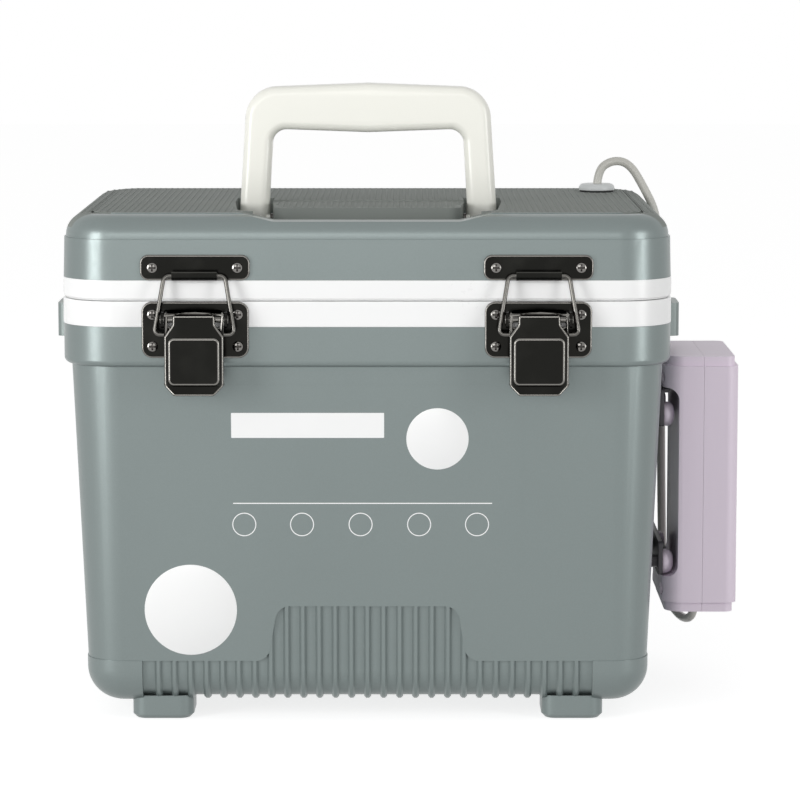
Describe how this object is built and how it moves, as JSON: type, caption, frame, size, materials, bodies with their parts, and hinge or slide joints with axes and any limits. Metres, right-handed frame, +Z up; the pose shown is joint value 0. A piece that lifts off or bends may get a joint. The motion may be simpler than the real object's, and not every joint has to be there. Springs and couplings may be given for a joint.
{
  "type": "live bait cooler box with air pump",
  "caption": "Insulated live-bait cooler box with a hinged lid, folding carry handle, two draw latches and a clip-on battery air pump whose hose runs through the lid",
  "frame": {"origin": "on the ground plane, under the middle of the box's plan", "axes": "+X from the box's middle towards the pump's side, +Y from the latches towards the hinges, +Z up"},
  "size_m": [0.3413, 0.2359, 0.3081],
  "materials": {
    "body_grey": "satin moulded polypropylene, silver grey-green",
    "rim_white": "smooth white moulded plastic",
    "handle_ivory": "smooth ivory moulded plastic",
    "foam": "rigid insulating foam, matt",
    "latch_black": "black nickel plate, glossy",
    "screw_steel": "plated steel",
    "lug_grey": "satin moulded plastic",
    "pump_lilac": "satin lilac-grey moulded plastic",
    "pump_dark": "matt dark purple-grey plastic",
    "cell_wrap": "plain wrapped battery cell",
    "hose_clear": "translucent pale vinyl hose",
    "grommet_pale": "pale grey soft plastic",
    "rubber_black": "black rubber",
    "stone_grey": "sintered porous stone, matt"
  },
  "bodies": {
    "tub": {"tub_shell": "body_grey", "tub_liner": "rim_white", "tub_foam": "foam", "latch_base_left": "latch_black", "latch_base_right": "latch_black", "latch_pin_left": "latch_black", "latch_pin_right": "latch_black", "base_screws": "screw_steel", "strap_lug_left": "lug_grey", "strap_lug_right": "lug_grey", "lug_screws": "screw_steel", "hinge_pin_left": "screw_steel", "hinge_pin_right": "screw_steel", "pump_brackets": "pump_dark", "pump_studs": "pump_dark", "pump_knobs": "pump_lilac", "pump_case_inner": "pump_lilac", "pump_case_outer": "pump_lilac", "pump_case_screws": "screw_steel", "pump_frame": "pump_dark", "pump_cells": "cell_wrap", "pump_contacts": "screw_steel", "pump_motor": "screw_steel", "pump_link": "pump_dark", "pump_head": "pump_dark", "pump_nozzle": "pump_dark", "pump_tube": "hose_clear", "pump_switch_body": "pump_dark", "air_hose": "hose_clear", "air_hose_inner": "hose_clear", "air_stone": "stone_grey"},
    "lid": {"lid_shell": "body_grey", "lid_liner": "rim_white", "lid_foam": "foam", "gasket": "rubber_black", "latch_strike_left": "latch_black", "latch_strike_right": "latch_black", "strike_screws": "screw_steel", "handle_pin_left": "screw_steel", "handle_pin_right": "screw_steel", "grommet": "grommet_pale", "grommet_ring": "rubber_black", "grommet_nut": "grommet_pale"},
    "handle": {"handle": "handle_ivory"},
    "lever_left": {"lever_left": "latch_black"},
    "lever_right": {"lever_right": "latch_black"},
    "bail_left": {"bail_left": "latch_black"},
    "bail_right": {"bail_right": "latch_black"},
    "crank": {"pump_crank": "pump_dark"},
    "switch": {"pump_switch": "pump_dark"}
  },
  "joints": [
    {"name": "lid_hinge", "type": "hinge", "parent": "tub", "child": "lid", "pos_m": [0, 0.1105, 0.20735], "axis": [-1, 0, 0], "range_deg": [0, 95], "deforming": ["air_hose", "air_hose_inner"]},
    {"name": "handle_pivot", "type": "hinge", "parent": "lid", "child": "handle", "pos_m": [0, -0.015, 0.24085], "axis": [1, 0, 0], "range_deg": [0, 90]},
    {"name": "lever_left_pivot", "type": "hinge", "parent": "tub", "child": "lever_left", "pos_m": [-0.082, -0.1125, 0.1993], "axis": [-1, 0, 0], "range_deg": [0, 90]},
    {"name": "bail_left_pivot", "type": "hinge", "parent": "lever_left", "child": "bail_left", "pos_m": [-0.082, -0.1133, 0.1923], "axis": [-1, 0, 0], "range_deg": [-73.8, 0]},
    {"name": "lever_right_pivot", "type": "hinge", "parent": "tub", "child": "lever_right", "pos_m": [0.082, -0.1125, 0.1993], "axis": [-1, 0, 0], "range_deg": [0, 90]},
    {"name": "bail_right_pivot", "type": "hinge", "parent": "lever_right", "child": "bail_right", "pos_m": [0.082, -0.1133, 0.1923], "axis": [-1, 0, 0], "range_deg": [-73.8, 0]},
    {"name": "pump_crank_spin", "type": "hinge", "parent": "tub", "child": "crank", "pos_m": [0.1694, -0.0126, 0.0731], "axis": [0, 1, 0], "continuous": true},
    {"name": "pump_switch_slide", "type": "slide", "parent": "tub", "child": "switch", "axis": [0, 0, 1], "range_m": [0, 0.005]}
  ],
  "couplings": [
    {"joint": "bail_left_pivot", "follows": "lever_left_pivot", "ratio": -0.82},
    {"joint": "bail_right_pivot", "follows": "lever_right_pivot", "ratio": -0.82}
  ]
}
